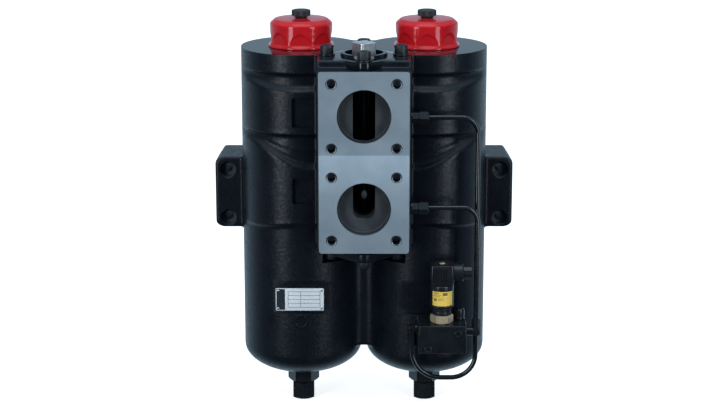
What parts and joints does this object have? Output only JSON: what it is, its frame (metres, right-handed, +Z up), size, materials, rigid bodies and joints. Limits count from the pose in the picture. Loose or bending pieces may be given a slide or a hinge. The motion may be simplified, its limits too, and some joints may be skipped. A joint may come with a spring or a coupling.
{
  "type": "duplex basket strainer",
  "caption": "Duplex basket strainer: twin upright cast chambers joined by a change-over valve with stacked square flanged ports, screwed caps, drain plugs and a clogging indicator.",
  "frame": {"origin": "centre of the bounding box in X and Y, at the underside of the two drain plugs", "axes": "+Z up along the chambers, +Y from the port flange towards the feet's back faces, +X to the side that carries the indicator"},
  "size_m": [0.377, 0.212, 0.5048],
  "materials": {
    "cast_black": "satin black paint over a cast texture, machined faces bare",
    "rotor_steel": "turned and milled, slightly dull",
    "bronze": "turned bearing bronze",
    "seal_rubber": "matt",
    "red_cap": "glossy red enamel on an aluminium cap",
    "black_plastic": "moulded, satin",
    "stainless": "perforated and woven stainless steel",
    "plate_metal": "brushed",
    "nickel_brass": "nickel-plated",
    "copper_seal": "annealed",
    "black_steel": "black oxide, slightly glossy"
  },
  "bodies": {
    "root": {"base_cover_screw_back": "black_steel", "base_cover_screw_front": "black_steel", "base_cover_screw_left": "black_steel", "base_cover_screw_right": "black_steel", "blanking_plug": "black_steel", "block_elbow_left": "black_steel", "block_elbow_right": "black_steel", "block_screw_1": "black_steel", "block_screw_2": "black_steel", "drain_adapter_left": "black_steel", "drain_adapter_right": "black_steel", "gauge_fitting_lower": "black_steel", "gauge_fitting_upper": "black_steel", "housing": "cast_black", "indicator_block": "cast_black", "indicator_body": "black_plastic", "indicator_stem": "nickel_brass", "lower_bush": "bronze", "nameplate": "plate_metal", "plate_rivet_1": "plate_metal", "plate_rivet_2": "plate_metal", "plate_rivet_3": "plate_metal", "plate_rivet_4": "plate_metal", "sensing_tube_lower": "black_steel", "sensing_tube_upper": "black_steel", "stem_bush": "bronze", "stem_seal": "seal_rubber", "top_cover_screw_back": "black_steel", "top_cover_screw_front": "black_steel", "top_cover_screw_left": "black_steel", "top_cover_screw_right": "black_steel", "top_washer_back": "black_steel", "top_washer_front": "black_steel", "top_washer_left": "black_steel", "top_washer_right": "black_steel", "valve_bottom_cover": "cast_black", "valve_top_cover": "cast_black"},
    "basket_left_body": {"basket_left": "stainless", "basket_screen_left": "stainless", "basket_bail_left": "stainless"},
    "lid_left_seal_body": {"lid_seal_left": "seal_rubber"},
    "lid_left_body": {"lid_left": "red_cap"},
    "vent_left_seal_body": {"vent_seal_left": "seal_rubber"},
    "vent_left_body": {"vent_plug_left": "black_plastic"},
    "drain_left_seal_body": {"drain_seal_left": "copper_seal"},
    "drain_left_body": {"drain_plug_left": "black_steel"},
    "basket_right_body": {"basket_right": "stainless", "basket_screen_right": "stainless", "basket_bail_right": "stainless"},
    "lid_right_seal_body": {"lid_seal_right": "seal_rubber"},
    "lid_right_body": {"lid_right": "red_cap"},
    "vent_right_seal_body": {"vent_seal_right": "seal_rubber"},
    "vent_right_body": {"vent_plug_right": "black_plastic"},
    "drain_right_seal_body": {"drain_seal_right": "copper_seal"},
    "drain_right_body": {"drain_plug_right": "black_steel"},
    "changeover_body": {"changeover_rotor": "rotor_steel"},
    "connector_body": {"connector_hood": "black_plastic"},
    "connector_screw_body": {"connector_screw": "nickel_brass"},
    "gland_body": {"gland_nut": "black_plastic"}
  },
  "joints": [
    {"name": "changeover_turn", "type": "hinge", "parent": "root", "child": "changeover_body", "pos_m": [0, -0.042, 0.46], "axis": [0, 0, 1], "range_deg": [-40, 40]},
    {"name": "basket_left_lift", "type": "slide", "parent": "root", "child": "basket_left_body", "axis": [0, 0, 1], "range_m": [0, 0.4]},
    {"name": "lid_left_rise", "type": "slide", "parent": "basket_left_body", "child": "lid_left_seal_body", "axis": [0, 0, 1], "range_m": [0, 0.01805]},
    {"name": "lid_left_turn", "type": "hinge", "parent": "lid_left_seal_body", "child": "lid_left_body", "pos_m": [-0.078, 0.029, 0.46], "axis": [0, 0, 1], "range_deg": [0, 1080]},
    {"name": "vent_left_rise", "type": "slide", "parent": "lid_left_body", "child": "vent_left_seal_body", "axis": [0, 0, 1], "range_m": [0, 0.00255]},
    {"name": "vent_left_turn", "type": "hinge", "parent": "vent_left_seal_body", "child": "vent_left_body", "pos_m": [-0.078, 0.029, 0.5], "axis": [0, 0, 1], "range_deg": [0, 720]},
    {"name": "drain_left_drop", "type": "slide", "parent": "root", "child": "drain_left_seal_body", "axis": [0, 0, -1], "range_m": [0, 0.01655]},
    {"name": "drain_left_turn", "type": "hinge", "parent": "drain_left_seal_body", "child": "drain_left_body", "pos_m": [-0.078, 0.029, 0.01], "axis": [0, 0, -1], "range_deg": [0, 3960]},
    {"name": "basket_right_lift", "type": "slide", "parent": "root", "child": "basket_right_body", "axis": [0, 0, 1], "range_m": [0, 0.4]},
    {"name": "lid_right_rise", "type": "slide", "parent": "basket_right_body", "child": "lid_right_seal_body", "axis": [0, 0, 1], "range_m": [0, 0.01805]},
    {"name": "lid_right_turn", "type": "hinge", "parent": "lid_right_seal_body", "child": "lid_right_body", "pos_m": [0.078, 0.029, 0.46], "axis": [0, 0, 1], "range_deg": [0, 1080]},
    {"name": "vent_right_rise", "type": "slide", "parent": "lid_right_body", "child": "vent_right_seal_body", "axis": [0, 0, 1], "range_m": [0, 0.00255]},
    {"name": "vent_right_turn", "type": "hinge", "parent": "vent_right_seal_body", "child": "vent_right_body", "pos_m": [0.078, 0.029, 0.5], "axis": [0, 0, 1], "range_deg": [0, 720]},
    {"name": "drain_right_drop", "type": "slide", "parent": "root", "child": "drain_right_seal_body", "axis": [0, 0, -1], "range_m": [0, 0.01655]},
    {"name": "drain_right_turn", "type": "hinge", "parent": "drain_right_seal_body", "child": "drain_right_body", "pos_m": [0.078, 0.029, 0.01], "axis": [0, 0, -1], "range_deg": [0, 3960]},
    {"name": "connector_pull", "type": "slide", "parent": "root", "child": "connector_body", "axis": [0, 0, 1], "range_m": [0, 0.025]},
    {"name": "connector_screw_turn", "type": "hinge", "parent": "connector_body", "child": "connector_screw_body", "pos_m": [0.096, -0.069, 0.206], "axis": [0, 0, 1], "range_deg": [0, 1800]},
    {"name": "gland_nut_turn", "type": "hinge", "parent": "connector_body", "child": "gland_body", "pos_m": [0.127, -0.069, 0.1945], "axis": [1, 0, 0], "range_deg": [0, 1080]}
  ],
  "couplings": [
    {"joint": "lid_left_rise", "follows": "lid_left_turn", "m_per_rad": 0.00095493},
    {"joint": "vent_left_rise", "follows": "vent_left_turn", "m_per_rad": 0.00019894},
    {"joint": "drain_left_drop", "follows": "drain_left_turn", "m_per_rad": 0.00023873},
    {"joint": "lid_right_rise", "follows": "lid_right_turn", "m_per_rad": 0.00095493},
    {"joint": "vent_right_rise", "follows": "vent_right_turn", "m_per_rad": 0.00019894},
    {"joint": "drain_right_drop", "follows": "drain_right_turn", "m_per_rad": 0.00023873}
  ]
}
